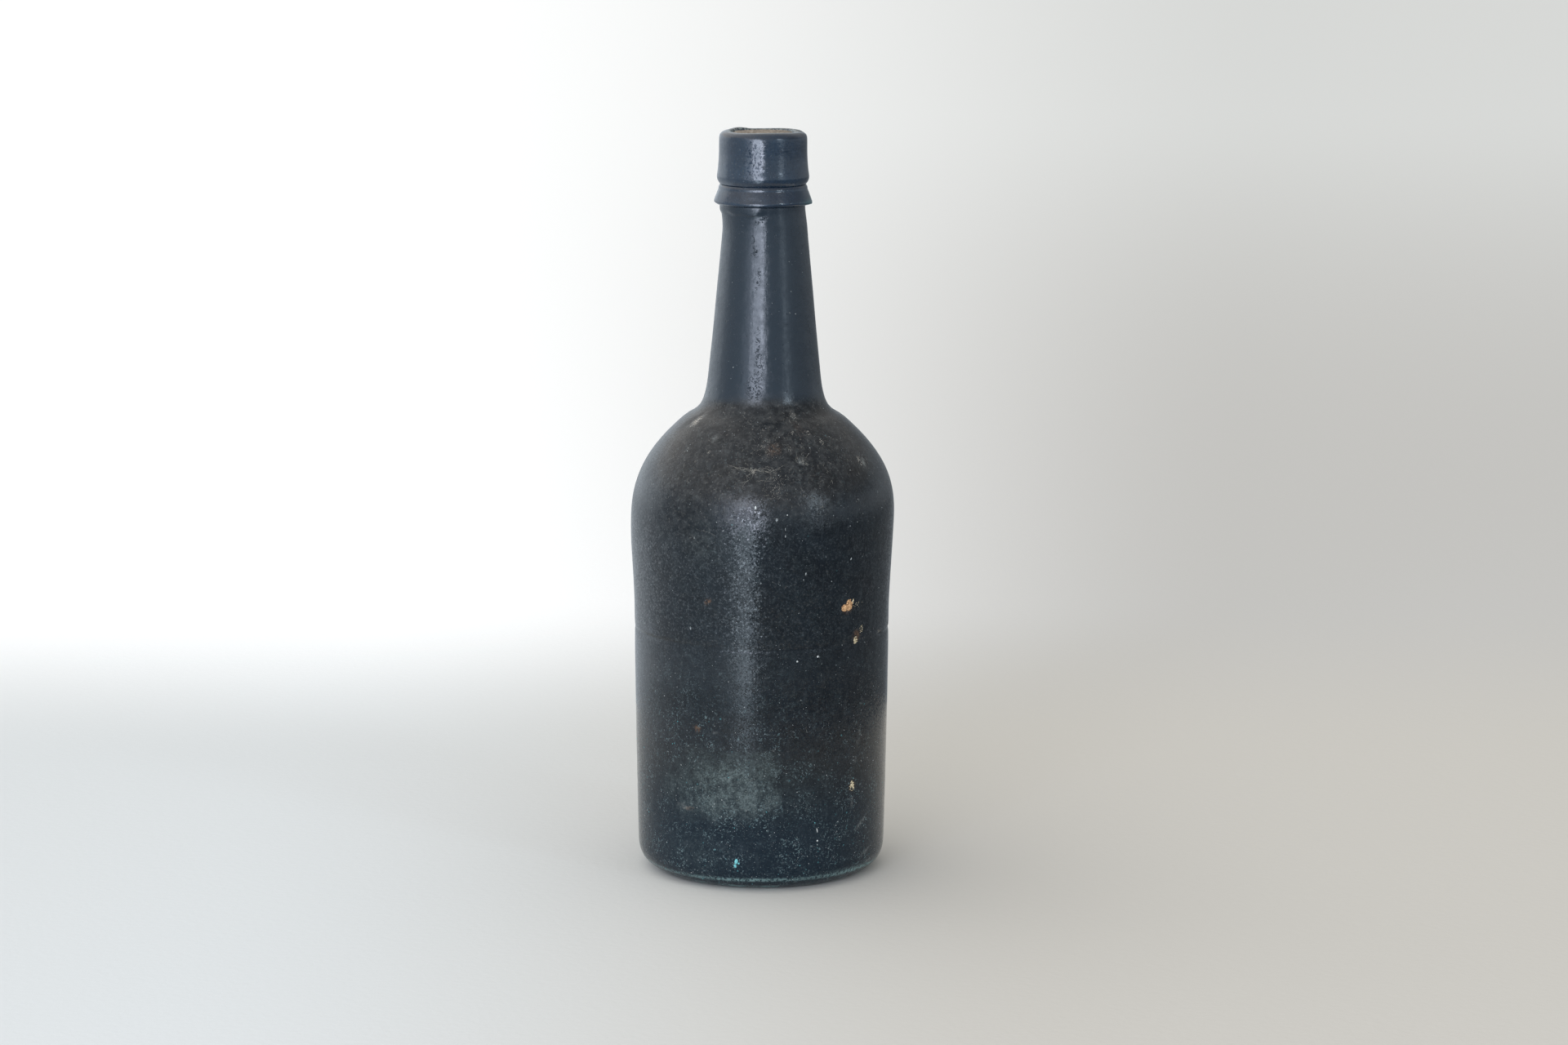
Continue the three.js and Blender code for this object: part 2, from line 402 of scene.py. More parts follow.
def threads(tree, place, size, width, broken):
    """Fine curved lines some size mm apart, in short lengths where the pattern broken is high."""
    swirled = add(tree, NOISE, place, Scale=per_mm(size), Detail=1.0, Distortion=1.2)
    off_line = add(tree, MATH, add(tree, MATH, swirled, 0.5, operation="SUBTRACT"), operation="ABSOLUTE")
    lines = add(tree, RANGE, off_line, 0.0, width / size, 1.0, 0.0)
    return product(tree, lines, add(tree, RANGE, broken, 0.54, 0.62))


def facets(tree, place, size, tilt, before):
    """Tilts the normal before by up to tilt, another way in each cell of size mm, as an etched skin does."""
    luck = add(tree, CELLS, place, Scale=per_mm(size), out="Color")
    centred = add(tree, VECTOR, luck, (0.5, 0.5, 0.5), operation="SUBTRACT")
    lean = add(tree, VECTOR, centred, Scale=tilt, operation="SCALE")
    leaning = add(tree, VECTOR, before, lean, operation="ADD")
    return add(tree, VECTOR, leaning, operation="NORMALIZE")


def fire_polished_glass():
    # Black glass, laid on hot and fire-polished: near black with a blue cast, a hard wet gloss,
    # tooling rings, and fine pits that break up the highlight
    made, tree, place = material("black_glass_fire_polished")
    soiled, thin, pitted = (
        add(tree, "ShaderNodeAttribute", attribute_name=name) for name in ("soil", "thin", "pitted"))
    ringed = add(tree, "ShaderNodeMapping", place, Scale=(1, 1, 6))
    tall = add(tree, "ShaderNodeMapping", place, Scale=(1, 1, 0.6))
    cloud = add(tree, NOISE, place, Scale=per_mm(5), Detail=3)
    grit = add(tree, NOISE, place, Scale=per_mm(0.7), Detail=4, Roughness=0.7)
    smears = add(tree, NOISE, place, Scale=per_mm(2.2), Detail=4)
    rings = add(tree, NOISE, ringed, Scale=per_mm(7), Detail=2)
    broken = add(tree, NOISE, tall, Scale=per_mm(0.62), Detail=3, Roughness=0.7)
    flecks = product(tree, add(tree, RANGE, broken, 0.53, 0.58), pitted)
    soil = product(tree, soiled, add(tree, RANGE, grit, 0.42, 0.6))
    colour = coats(tree, "#0f1f2f", (
        (add(tree, RANGE, cloud, 0.3, 0.7), "#152738"),
        (thin, "#2a6266"),
        (product(tree, add(tree, RANGE, grit, 0.55, 0.8), 0.10), "#8795a0"),
        (soil, "#8d9692"),
    ))
    rough = total(tree, add(tree, RANGE, smears, 0.35, 0.75, 0.10, 0.19), product(tree, soil, 0.4))
    wavy = add(tree, BUMP, Height=rings, Distance=0.035 * MM)
    gritty = add(tree, BUMP, Height=grit, Distance=0.022 * MM, Normal=wavy)
    sound = add(tree, MATH, 1.0, dots(tree, place, 1.0, 0.26, 0.5), operation="SUBTRACT")
    dented = add(tree, BUMP, Height=sound, Distance=0.09 * MM, Normal=gritty)
    tilt = add(tree, RANGE, grit, 0.4, 0.65, 0.02, 0.09)
    shine = add(tree, RANGE, flecks, 0, 1, 0.70, 0.22)
    finish(tree, colour, rough, facets(tree, place, 0.34, tilt, dented), shine)
    return made


# What weather() paints on the blown glass
GLASS_LAYERS = (
    "neck", "dust", "haze", "lime", "heel_lime_and_reflection", "smear", "rust", "foot", "pitted", "worn", "etched")


def blown_glass():
    # Black glass, blown in a dip mould and long buried: glossy on the neck, elsewhere dulled by a thin film,
    # grey-brown dust on the shoulder, a grey-green bloom and fine lime specks towards the base
    made, tree, place = material("black_glass_blown_and_weathered")
    neck, dust, haze, lime, heel_lime_and_reflection, smear, rust, foot, pitted, worn, etched = (
        add(tree, "ShaderNodeAttribute", attribute_name=name) for name in GLASS_LAYERS)
    wall = add(tree, MATH, 1.0, neck, operation="SUBTRACT")
    upright = add(tree, "ShaderNodeMapping", place, Scale=(1, 1, 0.14))

    # Patterns, by the size of their features in mm
    cloud = add(tree, NOISE, place, Scale=per_mm(9), Detail=5)
    wide = add(tree, NOISE, place, Scale=per_mm(8), Detail=2)
    patchy = add(tree, NOISE, place, Scale=per_mm(7), Detail=3, Roughness=0.6)
    drawn_out = add(tree, NOISE, place, Scale=per_mm(3.5), Detail=2)
    mottle = add(tree, NOISE, place, Scale=per_mm(2.4), Detail=5, Roughness=0.62)
    streak = add(tree, NOISE, upright, Scale=per_mm(1.7), Detail=3, Roughness=0.6)
    curls = add(tree, NOISE, place, Scale=per_mm(1.3), Detail=3, Roughness=0.65, Distortion=2.5)
    crumbs = add(tree, NOISE, place, Scale=per_mm(0.9), Detail=5, Roughness=0.75)
    grit = add(tree, NOISE, place, Scale=per_mm(0.8), Detail=3, Roughness=0.65)
    pocks = add(tree, NOISE, place, Scale=per_mm(0.7), Detail=4, Roughness=0.7)
    flakes = add(tree, NOISE, place, Scale=per_mm(0.7), Detail=3, Roughness=0.7)
    fine = add(tree, NOISE, place, Scale=per_mm(0.45), Detail=2)

    # The film, the dust, the bloom and the rest that dulls or marks the glass, each a share from 0 to 1
    clumped = add(tree, RANGE, patchy, 0.42, 0.60)
    film = product(
        tree, add(tree, RANGE, mottle, 0.38, 0.68), add(tree, RANGE, grit, 0.35, 0.7, 0.3, 1.0), wall)
    scuffs = product(tree, add(tree, RANGE, streak, 0.58, 0.75), wall)
    dusty = product(tree, dust, total(
        tree, add(tree, RANGE, mottle, 0.42, 0.66, 0.15, 0.9), add(tree, RANGE, grit, 0.5, 0.7, 0, 0.6)))
    clouded = total(
        tree, 0.40, add(tree, RANGE, fine, 0.40, 0.62, 0, 0.50), add(tree, RANGE, grit, 0.45, 0.62, 0, 0.30))
    bloom = product(tree, haze, clouded, add(tree, RANGE, mottle, 0.34, 0.60, 0.40, 1.12))
    flecks = product(
        tree, add(tree, RANGE, curls, 0.585, 0.63), lime, add(tree, RANGE, clumped, 0, 1, 0.25, 1.0), wall)
    dusting = product(
        tree, add(tree, RANGE, grit, 0.60, 0.67), lime, add(tree, RANGE, clumped, 0, 1, 0.1, 1.0), wall)
    hairs = product(tree, threads(tree, place, 2.6, 0.07, grit), total(tree, dust, 0.12), wall)
    specks = dots(tree, place, 1.1, 0.18, total(tree, product(tree, lime, 0.30), 0.05))
    green = dots(tree, place, 1.7, 0.34, product(tree, lime, lime, 0.18))
    # The heel's pale colour: real lime lines, and a grey band at the side that is a painted reflection of the
    # floor
    edge = product(tree, heel_lime_and_reflection, add(tree, RANGE, crumbs, 0.40, 0.56))
    smudge = product(tree, smear, add(tree, RANGE, grit, 0.38, 0.6, 0.15, 1.0))
    pits = product(tree, add(tree, RANGE, pocks, 0.535, 0.59), pitted)
    colour = coats(tree, "#090e13", (
        (add(tree, RANGE, cloud, 0.3, 0.7), "#0d141a"),
        (product(tree, neck, 0.8), "#18242f"),
        (product(tree, foot, 0.8), "#0f1f2a"),
        (product(tree, film, 0.045), "#7e8d92"),
        (product(tree, scuffs, 0.035), "#8c999f"),
        (product(tree, dusty, 0.22), "#827f7b"),
        (product(tree, bloom, 0.31), "#84928e"),
        (product(tree, flecks, 0.36), "#8ea8aa"),
        (product(tree, dusting, 0.20), "#93a5a8"),
        (product(tree, hairs, 0.35), "#a39c90"),
        (product(tree, specks, wall, 0.45), "#aab3b4"),
        (product(tree, green, wall, 0.35), "#5c9fa5"),
        (product(tree, smudge, 0.40), "#9fa3a0"),
        (product(tree, rust, add(tree, RANGE, grit, 0.35, 0.6), 0.85), "#6f5138"),
        (product(tree, edge, 0.75), "#86a3a2"),
    ))

    # Roughness: the neck is glossy with smears, the wall a little duller, and what lies on it duller still
    smeared = add(tree, RANGE, mottle, 0.35, 0.65, 0.16, 0.30)
    gloss = total(tree, product(tree, neck, smeared), product(tree, wall, 0.12))
    dull = total(tree, product(tree, film, 0.08), product(tree, dust, 0.28), product(tree, bloom, 0.20))
    rough = total(tree, gloss, dull, product(tree, edge, 0.4), product(tree, flecks, 0.25))

    # Relief, from the waves of the blowing down to the grain of the skin
    uneven = product(tree, drawn_out, total(tree, neck, 0.35))
    drawn = product(tree, streak, total(tree, neck, 0.5))
    sparks = product(tree, fine, wall, add(tree, RANGE, mottle, 0.35, 0.6, 0.4, 1.0))
    holes = total(tree, pits, product(tree, dots(tree, place, 1.2, 0.30, 0.22), 0.6))
    sound = add(tree, MATH, 1.0, holes, operation="SUBTRACT")
    normal = add(tree, BUMP, Height=wide, Distance=0.07 * MM)
    for height, depth in ((uneven, 0.055), (drawn, 0.03), (mottle, 0.022), (sparks, 0.03), (sound, 0.10)):
        normal = add(tree, BUMP, Height=height, Distance=depth * MM, Normal=normal)

    # Shine, less where the glass is covered or worn, broken up by the grain, the pits and the flaking film
    grain = add(tree, RANGE, fine, 0.42, 0.58, 0.86, 1.12)
    grained = add(tree, MIX, neck, A=grain, B=1.0)
    covered = total(tree, product(tree, dust, 1.5), bloom, product(tree, foot, 0.8), product(tree, worn, 0.5))
    clear = add(tree, RANGE, covered, 0, 1, 0.5, 0.24)
    unpitted = add(tree, RANGE, pits, 0, 1, 1.0, 0.36)
    flaked = add(tree, MIX, etched, A=1.0, B=add(tree, RANGE, flakes, 0.54, 0.61, 0.60, 2.7))
    shine = product(tree, clear, grained, unpitted, flaked)

    # The skin is etched in small facets, so that it mirrors a light as many small sparks.
    tilt = product(
        tree, add(tree, RANGE, grit, 0.35, 0.65, 0.05, 0.17), total(tree, product(tree, wall, 0.6), 0.2))
    coarse_tilt = product(tree, etched, add(tree, RANGE, mottle, 0.36, 0.60, 0.04, 0.24))
    faceted = facets(tree, place, 0.62, coarse_tilt, facets(tree, place, 0.34, tilt, normal))
    finish(tree, colour, rough, faceted, shine)
    return made


def cut_cork():
    # Cork, cut from bark: warm brown with long dark pores down its side, greyed and crumbled at the top
    made, tree, place = material("cork_cut_and_weathered")
    kept, stained = (add(tree, "ShaderNodeAttribute", attribute_name=name) for name in ("kept", "stained"))
    long = add(tree, "ShaderNodeMapping", place, Scale=(1, 1, 0.3))
    bands = add(tree, NOISE, long, Scale=per_mm(4.5), Detail=3, Roughness=0.6, Distortion=0.6)
    lenticels = add(tree, NOISE, long, Scale=per_mm(2.2), Detail=3, Roughness=0.55)
    grain = add(tree, NOISE, place, Scale=per_mm(1.0), Detail=6, Roughness=0.65)
    chalk = add(tree, NOISE, place, Scale=per_mm(0.7), Detail=5)
    cells = add(tree, NOISE, place, Scale=per_mm(0.5), Detail=3, Roughness=0.6)
    exposed = add(tree, MATH, 1.0, kept, operation="SUBTRACT")
    chalky = product(tree, add(tree, RANGE, chalk, 0.55, 0.7), exposed)
    slots = product(tree, kept, add(tree, RANGE, lenticels, 0.60, 0.66))
    top = coats(tree, "#5b5148", (
        (add(tree, RANGE, grain, 0.3, 0.7), "#ab9f91"),
        (product(tree, dots(tree, place, 1.5, 0.55, 0.5), 0.9), "#332b26"),
    ))
    side = coats(tree, "#96754f", ((add(tree, RANGE, bands, 0.35, 0.65), "#bd9c72"),))
    colour = coats(tree, top, (
        (kept, side),
        (product(tree, kept, add(tree, RANGE, cells, 0.5, 0.7), 0.3), "#7a5b3c"),
        (product(tree, stained, add(tree, RANGE, bands, 0.3, 0.7, 0.5, 0.9)), "#5a3a30"),
        (product(tree, slots, 0.85), "#3f2c20"),
        (product(tree, chalky, 0.6), "#b9b5ab"),
    ))
    rough = add(tree, RANGE, grain, 0, 1, 0.8, 0.95)
    relief = total(
        tree, product(tree, grain, add(tree, RANGE, kept, 0, 1, 1.0, 0.3)), product(tree, slots, -0.8))
    finish(tree, colour, rough, add(tree, BUMP, Height=relief, Distance=0.35 * MM), 0.3)
    return made


def grains_of(name, dark, light, rough):
    """A material for grains, each between two tints by its own luck."""
    made, tree, place = material(name)
    luck = add(tree, "ShaderNodeAttribute", attribute_name="luck")
    grain = add(tree, NOISE, place, Scale=per_mm(0.4), Detail=4, Roughness=0.7)
    share = total(tree, product(tree, luck, 0.55), add(tree, RANGE, grain, 0.35, 0.62, 0, 0.45))
    colour = coats(tree, dark, ((share, light),))
    roughness = add(tree, RANGE, grain, 0, 1, rough - 0.1, rough + 0.1)
    finish(tree, colour, roughness, add(tree, BUMP, Height=grain, Distance=0.05 * MM), 0.3)
    return made


FINISH = fire_polished_glass()
GLASS = blown_glass()
CORK = cut_cork()
# Dried soil, sandy and orange-brown, matt as clay
SOIL = grains_of("soil_dried_crust", "#6e4527", "#e6bb8c", 0.85)
# Sand and shell grit stuck in the soil, beige to straw, slightly shiny
GRIT = grains_of("sand_and_shell_grit", "#8f7f5e", "#e0d3b4", 0.6)
# Lime scale, dull white specks
LIME = grains_of("lime_scale_specks", "#465055", "#d5d9d6", 0.7)
# Dust with sand in it, pale straw and matt
DUST = grains_of("sandy_dust_clumps", "#77716a", "#ddd6c8", 0.85)
# Copper-stained scale, blue-green and chalky
TEAL = grains_of("copper_stained_scale", "#2f7f86", "#7fc9cc", 0.7)
# Plant fibre and dust threads, straw-grey and dull
FIBRE = grains_of("dried_plant_fibre", "#6a6964", "#d6d0c1", 0.8)


# The bottle

# Places on the bottle in mm
WALL_RADIUS = 38.0
PUSH_UP_RADIUS = 27  # the outer side of the base and the wall lies past it
BORE_RADIUS = 12.2  # the outer side of the neck lies past it
MOULD_LINE = 74.5
NECK_ROOT = 143.2
RIM_FOOT = 200.6

OUTLINE = section("glass_body")
ON_TABLE = OUTLINE[:, 1] <= TINY
WALL_FROM = int(np.argmax(ON_TABLE)) + 1
INSIDE_FROM = int(np.argmax(OUTLINE[:, 1] >= OUTLINE[:, 1].max() - TINY))
STANDING_RADIUS = OUTLINE[ON_TABLE][:, 0].min()
OUTER = OUTLINE[WALL_FROM:INSIDE_FROM] / MM


def glass_rows(radius, height, index):
    """Row spacing in metres: fine where the glass shows detail, coarse inside and under the base."""
    height = height / MM
    if index >= INSIDE_FROM:
        return 5 * MM
    if height > 195:
        return 0.35 * MM if height < 201 else 4 * MM
    if MOULD_LINE - 3 < height < MOULD_LINE + 1:
        return 0.35 * MM
    if radius < STANDING_RADIUS:
        return 2.2 * MM
    return 0.45 * MM if height < 9 else 0.8 * MM


# Dents and scars: azimuth in degrees, height, depth, half width in degrees and half height, in mm
SCARS = (
    (82, 75.6, 0.45, 5, 1.0),
    (67, 74.2, 0.30, 4, 0.9),
    (-90, 33.0, 0.22, 4, 1.6),
    (-88, 25.5, 0.30, 3, 1.2),
    (-86, 17.0, 0.25, 3, 1.4),
    (-2.5, 196.6, 0.08, 7, 0.6),
    (140, 52.0, 0.25, 5, 2.2),
    (205, 88.0, 0.20, 4, 1.5),
)


def blown_unevenness(radius, azimuth, height):
    """How the blown glass departs from a true round, in mm."""
    # The bore and the push-up stay true.
    outside = (radius > BORE_RADIUS) & (height > 150) | (height <= 150) & (radius > 20)
    # The shoulder and the neck stand a little to the photographed right of the base and the finish.
    lean = 0.62 * step(height, 98, 124) * (1 - step(height, 193, RIM_FOOT)) * (radius > BORE_RADIUS)
    # A bead of surplus glass below the string rim, on the left and the front.
    reach = step(turn_between(azimuth, -125), -25, 5) * (1 - step(turn_between(azimuth, -10), 0, 18))
    bead_foot = 198.4 + 0.3 * ripple(azimuth, 5, 0.6) + 0.2 * ripple(azimuth, 13, 2.0)
    bead = 0.38 * reach * step(height, bead_foot - 0.8, bead_foot + 0.5) * (1 - step(height, 200.2, RIM_FOOT))
    # The mould line is rubbed nearly level in front and stays sharp at the photographed right.
    rubbed = 0.90 - 0.62 * facing(azimuth, -62, 44) - 0.8 * facing(azimuth, 86, 22)
    rubbed -= 0.6 * facing(azimuth, 170, 60)
    level = 0.25 * np.clip(rubbed, 0, 1) * np.interp(height, (71.9, 73.85, MOULD_LINE), (0, 1, 0))
    dents = sum(
        depth * facing(azimuth, centre, half_turn) * hump(height, middle, half_height)
        for centre, middle, depth, half_turn, half_height in SCARS)
    return np.where(outside, bead + level - dents, 0), lean, np.maximum(-height, 0)


# Spots on the glass: azimuth in degrees, height, half width and half height in mm, tilt in degrees, strength
DUST_SPOTS = (
    (-65, 137.0, 8, 3.2, 20, 0.9),
    (27, 139.6, 6, 3.0, -10, 0.8),
    (61, 126.0, 4, 5.0, -35, 0.9),
    (20, 128.5, 6, 3.0, 10, 0.7),
    (4, 133.0, 9, 4.0, 5, 0.7),
    (20.6, 128.3, 2.2, 1.6, 20, 0.9),
    (-33, 131.0, 3, 2.5, 20, 0.6),
    (-25, 134.0, 6, 4.0, 0, 0.5),
    (-45, 128.0, 4, 5.0, 30, 0.4),
    (120, 131.0, 12, 5.0, 10, 0.8),
    (175, 126.0, 8, 7.0, 0, 0.7),
    (-120, 133.0, 12, 5.0, -10, 0.7),
)
HAZE_SPOTS = (
    (-30, 40.0, 10, 6.0, 12, 0.35),
    (-42, 31.0, 9, 7.0, 0, 0.45),
    (-30, 11.0, 18, 9.0, 0, 0.16),
    (-25, 105.0, 10, 11.0, 0, 0.15),
    (150, 38.0, 16, 12.0, 8, 0.7),
    (205, 27.0, 14, 9.0, -5, 0.6),
    (-120, 40.0, 9, 12.0, 0, 0.5),
    (100, 24.0, 8, 7.0, 0, 0.4),
)
SMEAR_SPOTS = (
    (53, 18.1, 4.5, 0.8, 35, 0.9),
    (57, 8.5, 4.0, 0.9, 25, 0.8),
    (63, 5.5, 3.5, 0.8, 15, 0.8),
    (60.6, 126.1, 1.2, 2.4, -30, 0.7),
    (26.5, 139.5, 3.0, 1.7, 0, 0.45),
    (-58.0, 137.4, 3.6, 1.9, 22, 1.0),
    (20.6, 128.3, 1.7, 1.3, 10, 0.5),
    (-31.0, 133.5, 2.0, 1.5, 0, 0.35),
    (50, 44.5, 0.9, 4.5, -8, 0.55),
    (48, 38.0, 0.7, 2.0, 0, 0.5),
    (46.5, 25.0, 0.6, 3.0, 5, 0.5),
    (-37, 24.6, 4.0, 0.7, -8, 0.9),
    (-21, 48.0, 2.0, 0.6, 20, 0.5),
    (160, 60.0, 1.0, 6.0, 10, 0.7),
    (230, 70.0, 5.0, 0.8, -20, 0.7),
)
RUST_SPOTS = (
    (-23.9, 87.5, 1.3, 1.0, 20, 1.0),
    (-29.5, 48.9, 1.8, 1.2, -40, 0.9),
    (41.8, 84.6, 2.6, 2.2, 30, 0.9),
    (47.5, 75.6, 2.2, 2.6, 0, 0.8),
    (46.2, 30.2, 1.6, 1.8, 0, 0.7),
    (-34.0, 24.2, 2.6, 0.6, -8, 0.6),
    (7, 131.5, 4.0, 2.4, 10, 0.15),
    (26, 136.5, 4.0, 3.0, 0, 0.12),
    (170, 96.0, 3.0, 2.0, 15, 0.9),
    (188, 63.0, 2.0, 3.0, 0, 0.8),
)
# Where the skin of the neck and of the lip is broken by pits
NECK_PITTED_SPOTS = (
    (-4, 196.5, 8, 0.9, 8, 0.9),
    (-13, 191.3, 2.5, 0.7, 0, 1.0),
    (-10, 187.4, 5, 0.5, 0, 0.8),
    (-6, 179.3, 4, 2.2, 40, 0.8),
    (-5, 160.5, 1.8, 6.0, -5, 0.8),
    (-3, 153.5, 4.5, 5.0, 0, 0.6),
    (-8, 147.6, 7.5, 3.6, 0, 0.75),
    (60, 164.0, 3, 5.0, 0, 0.6),
    (-150, 176.0, 6, 5.0, 10, 0.8),
    (140, 158.0, 8, 3.0, 0, 0.8),
)
LIP_PITTED_SPOTS = (
    (-12, 214.0, 11, 8.5, 0, 1.0),
    (150, 213.0, 16, 7.0, 0, 0.8),
)
# Where the film on the shoulder and the wall is etched through
ETCHED_SPOTS = (
    (-5, 113.4, 6.5, 3.4, 0, 0.9),
    (25, 114.5, 3.6, 2.8, 10, 0.8),
    (-62, 104.0, 4.0, 6.0, 20, 0.6),
    (98, 109.0, 12, 5.0, 8, 0.8),
    (168, 112.0, 15, 5.0, -5, 0.8),
    (-115, 100.0, 9, 8.0, 0, 0.7),
)


def patches(azimuth, height, spots, sharp):
    """A mask from 0 to 1 of tilted oval spots, each at full strength out to this share of its reach."""
    mask = np.zeros_like(height)
    for centre, middle, half_width, half_height, tilt, strength in spots:
        across = np.radians(turn_between(azimuth, centre)) * WALL_RADIUS
        up = height - middle
        c, s = math.cos(math.radians(tilt)), math.sin(math.radians(tilt))
        reach = np.hypot((across * c + up * s) / half_width, (up * c - across * s) / half_height)
        mask = np.maximum(mask, strength * (1 - step(reach, sharp, 1.0)))
    return mask


def where_dust_lies(azimuth, height, uneven):
    """Dust on the shoulder. It starts higher up on the photographed right and reaches lower on the left."""
    shift = 10 * facing(azimuth, 56, 36) - 12 * facing(azimuth, -30, 30)
    shoulder = step(height, 104 + 3 * uneven + shift, 126 + 3 * uneven + 0.6 * shift)
    shoulder *= 1 - step(height, NECK_ROOT - 0.4, NECK_ROOT + 1)
    thin = 0.42 + 0.10 * ripple(azimuth, 3, 0.9)
    return shoulder * np.maximum(thin, patches(azimuth, height, DUST_SPOTS, 0.2))


def where_haze_lies(azimuth, height, uneven):
    """The bloom. Its main patch ends sharply on the photographed right and fades to the left."""
    right_end = 8.2 + 1.2 * np.sin(height * 0.7) + 0.8 * np.sin(height * 1.9)
    fading = 1 - 0.5 * step(azimuth, -10, 6) - 0.5 * step(azimuth, right_end - 2, right_end + 1.5)
    main = np.clip(step(azimuth, -54, -14) * fading + 0.14 * facing(azimuth, 14, 30), 0, 1)
    ragged = 0.6 * uneven + 0.5 * ripple(azimuth, 23, 0.4) + 0.3 * ripple(azimuth, 41, 1.7)
    main *= step(height, 20 + ragged, 27 + ragged)
    main *= 1 - step(height, 35 + ragged, 44 + ragged)
    upper_line = hump(height, 42 + 0.2 * uneven, 0.9) * step(azimuth, -20, -14) * (1 - step(azimuth, 6, 9))
    return np.maximum(main + 0.35 * upper_line, patches(azimuth, height, HAZE_SPOTS, 0.1))


def where_lime_lies(azimuth, height, uneven):
    """Lime: most of it low down, and more on the photographed left than on the right."""
    low = 1 - step(height, 25, 80)
    low_left = 0.5 * facing(azimuth, -32, 36) * (1 - step(height, 14, 26))
    left_more = 0.45 * facing(azimuth, -40, 38) * hump(height, 54, 20)
    right_less = 0.25 * facing(azimuth, 30, 40) * hump(height, 52, 24)
    return 0.10 + 0.75 * low + 0.1 * uneven * low + low_left + left_more - right_less


def where_heel_lines_and_painted_reflection_run(azimuth, height, uneven):
    """Two thin lines of lime round the heel, the lower one broken, with dark glass between them. Also a wider
    grey band at the side, painted as a reflection of the floor.
    """
    broken = np.clip(0.35 + 0.9 * ripple(azimuth, 11, 1.1) * ripple(azimuth, 7, 0.3), 0, 1)
    # A wider grey band at the side of the heel: a painted reflection of the floor on the chamfer, not lime
    painted_reflection_band = 0.9 * hump(height, 3.9, 1.8) * facing(azimuth, 46, 28)
    lines = hump(height, 3.6 + 0.15 * uneven, 0.95) + 1.2 * broken * hump(height, 0.9, 1.0) + painted_reflection_band
    return lines * (0.75 + 0.25 * ripple(azimuth, 4, 2.2))


def weather(mesh):
    """Paints the layers that the blown glass has on it, each a share from 0 to 1."""
    radius, azimuth, height = around(positions(mesh) / MM)
    uneven = 1.2 * ripple(azimuth, 2, 0.4) + 0.8 * ripple(azimuth, 5, 1.9)
    lower = radius > PUSH_UP_RADIUS
    outer = np.where((height > 0.5) & lower, 1.0, 0.0) + (height > 120)
    low_wear = 0.76 * (1 - step(height, 50, 68)) + 0.5 * hump(height, 58, 9)
    flaking = 0.6 * step(height, 64, 80) * (1 - step(height, 104, 114))
    paint(mesh, "neck", step(height, NECK_ROOT + 0.2 * uneven, NECK_ROOT + 1.2 + 0.2 * uneven))
    paint(mesh, "dust", where_dust_lies(azimuth, height, uneven))
    paint(mesh, "haze", where_haze_lies(azimuth, height, uneven))
    paint(mesh, "lime", outer * where_lime_lies(azimuth, height, uneven))
    # The heel's lime lines, and a grey band at the side that is a painted reflection
    paint(mesh, "heel_lime_and_reflection", lower * where_heel_lines_and_painted_reflection_run(azimuth, height, uneven))
    paint(mesh, "foot", (1 - step(height, 14, 44)) * (height > 0.5))
    paint(mesh, "pitted", (height > 145) * patches(azimuth, height, NECK_PITTED_SPOTS, 0.5))
    paint(mesh, "worn", low_wear + 0.68 * hump(height, 111.5, 7))
    paint(mesh, "etched", np.maximum(flaking, patches(azimuth, height, ETCHED_SPOTS, 0.45)))
    paint(mesh, "smear", outer * patches(azimuth, height, SMEAR_SPOTS, 0.1))
    paint(mesh, "rust", outer * patches(azimuth, height, RUST_SPOTS, 0.1))


glass_body = turned("glass_body_blown", dense(OUTLINE, glass_rows), 264, GLASS, seed=3, wave=(0.6, 45))
reshape(glass_body.data, blown_unevenness)
weather(glass_body.data)
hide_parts("glass_body")
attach(glass_body, "bottle")


def lip_unevenness(radius, azimuth, height):
    """The lip's hand-tooled unevenness, in mm: a lump of surplus glass on top and a chip in the mouth."""
    top = step(height, 219.2, 221.6)
    lump = 0.4 * facing(azimuth, -137, 26) + 0.12 * ripple(azimuth, 3, 1.0)
    chip = 0.45 * facing(azimuth, 96, 16) * step(radius, 9.0, 10.2) * (1 - step(radius, 11.6, 12.6))
    wobble = 0.06 * ripple(azimuth, 2, 0.3) + 0.04 * ripple(azimuth, 5, 1.4)
    return wobble * (radius > 12.9), np.zeros_like(radius), top * (lump - chip)


def rim_unevenness(radius, azimuth, height):
    """The string rim's hand-tooled edge, in mm: it droops to a sharper tip on the photographed right."""
    edge = step(radius, 13.4, 14.3)
    droop = 0.3 * facing(azimuth, 92, 55) + 0.12 * ripple(azimuth, 3, 2.4)
    reach = 0.14 * facing(azimuth, 90, 50) + 0.08 * ripple(azimuth, 4, 0.2)
    upper_ridge = 0.16 * hump(height, 205.7, 0.7) * (radius > 12.5)
    lower_ridge = 0.10 * hump(height, 201.0, 0.6) * (radius > 13.5)
    return edge * reach + (upper_ridge + lower_ridge), np.zeros_like(radius), -edge * droop


def soil_and_pit(mesh):
    """Paints where the laid-on glass holds soil, where its skin is pitted and where it is thin and tinted."""
    radius, azimuth, height = around(positions(mesh) / MM)
    groove = 0.02 * hump(height, 206.4, 1.1)
    under_rim = 0.04 * hump(height, RIM_FOOT, 0.5) * (radius > 13)
    mouth = 0.8 * (1 - step(radius, 10.4, 11.2)) * step(height, 214, 218)
    tip = step(radius, 13.9, 14.5) * facing(azimuth, 85, 40)
    paint(mesh, "soil", groove + under_rim + mouth)
    paint(mesh, "pitted", np.maximum(0.3, patches(azimuth, height, LIP_PITTED_SPOTS, 0.5)))
    paint(mesh, "thin", 0.6 * tip)


